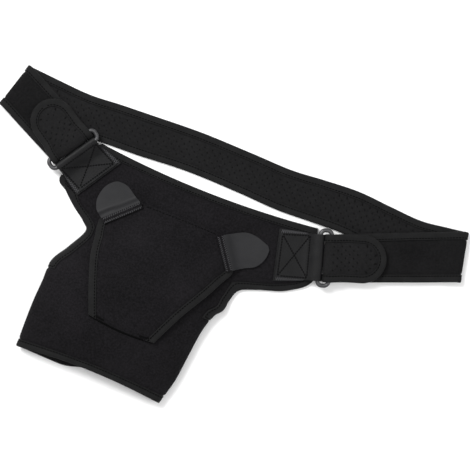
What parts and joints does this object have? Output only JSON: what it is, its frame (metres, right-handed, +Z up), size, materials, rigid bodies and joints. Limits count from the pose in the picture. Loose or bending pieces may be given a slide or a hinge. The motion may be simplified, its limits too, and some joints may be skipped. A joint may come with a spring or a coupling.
{
  "type": "shoulder brace",
  "caption": "Flat-lying neoprene shoulder brace: open arm sleeve with a second fastening flap, two ring loops and an adjustable chest strap.",
  "frame": {"origin": "on the surface that the brace lies on, below the middle of its outline", "axes": "+X toward the strap's outer fold, +Y toward the chest strap's long run, +Z up, away from the surface"},
  "size_m": [0.4872, 0.3498, 0.0324],
  "materials": {
    "neoprene": "matt knitted face",
    "strap_neoprene": "matt knitted face with small holes",
    "tape": "matt folded tape",
    "tab_cloth": "short brushed pile",
    "leather_loop": "fine grained, satin",
    "ring_plastic": "moulded, satin"
  },
  "bodies": {
    "root": {"sleeve_body": "neoprene", "cuff_binding": "tape", "neck_binding": "tape", "armpit_binding": "tape", "compression_flap": "neoprene", "flap_binding_rear": "tape", "flap_binding_front": "tape", "upper_tab": "tab_cloth", "side_tab": "tab_cloth", "ring_left": "ring_plastic", "ring_right": "ring_plastic", "anchor_left": "leather_loop", "anchor_right": "leather_loop", "strap": "strap_neoprene", "strap_binding": "tape", "hook_pad_left": "tab_cloth", "hook_pad_right": "tab_cloth"}
  },
  "joints": []
}
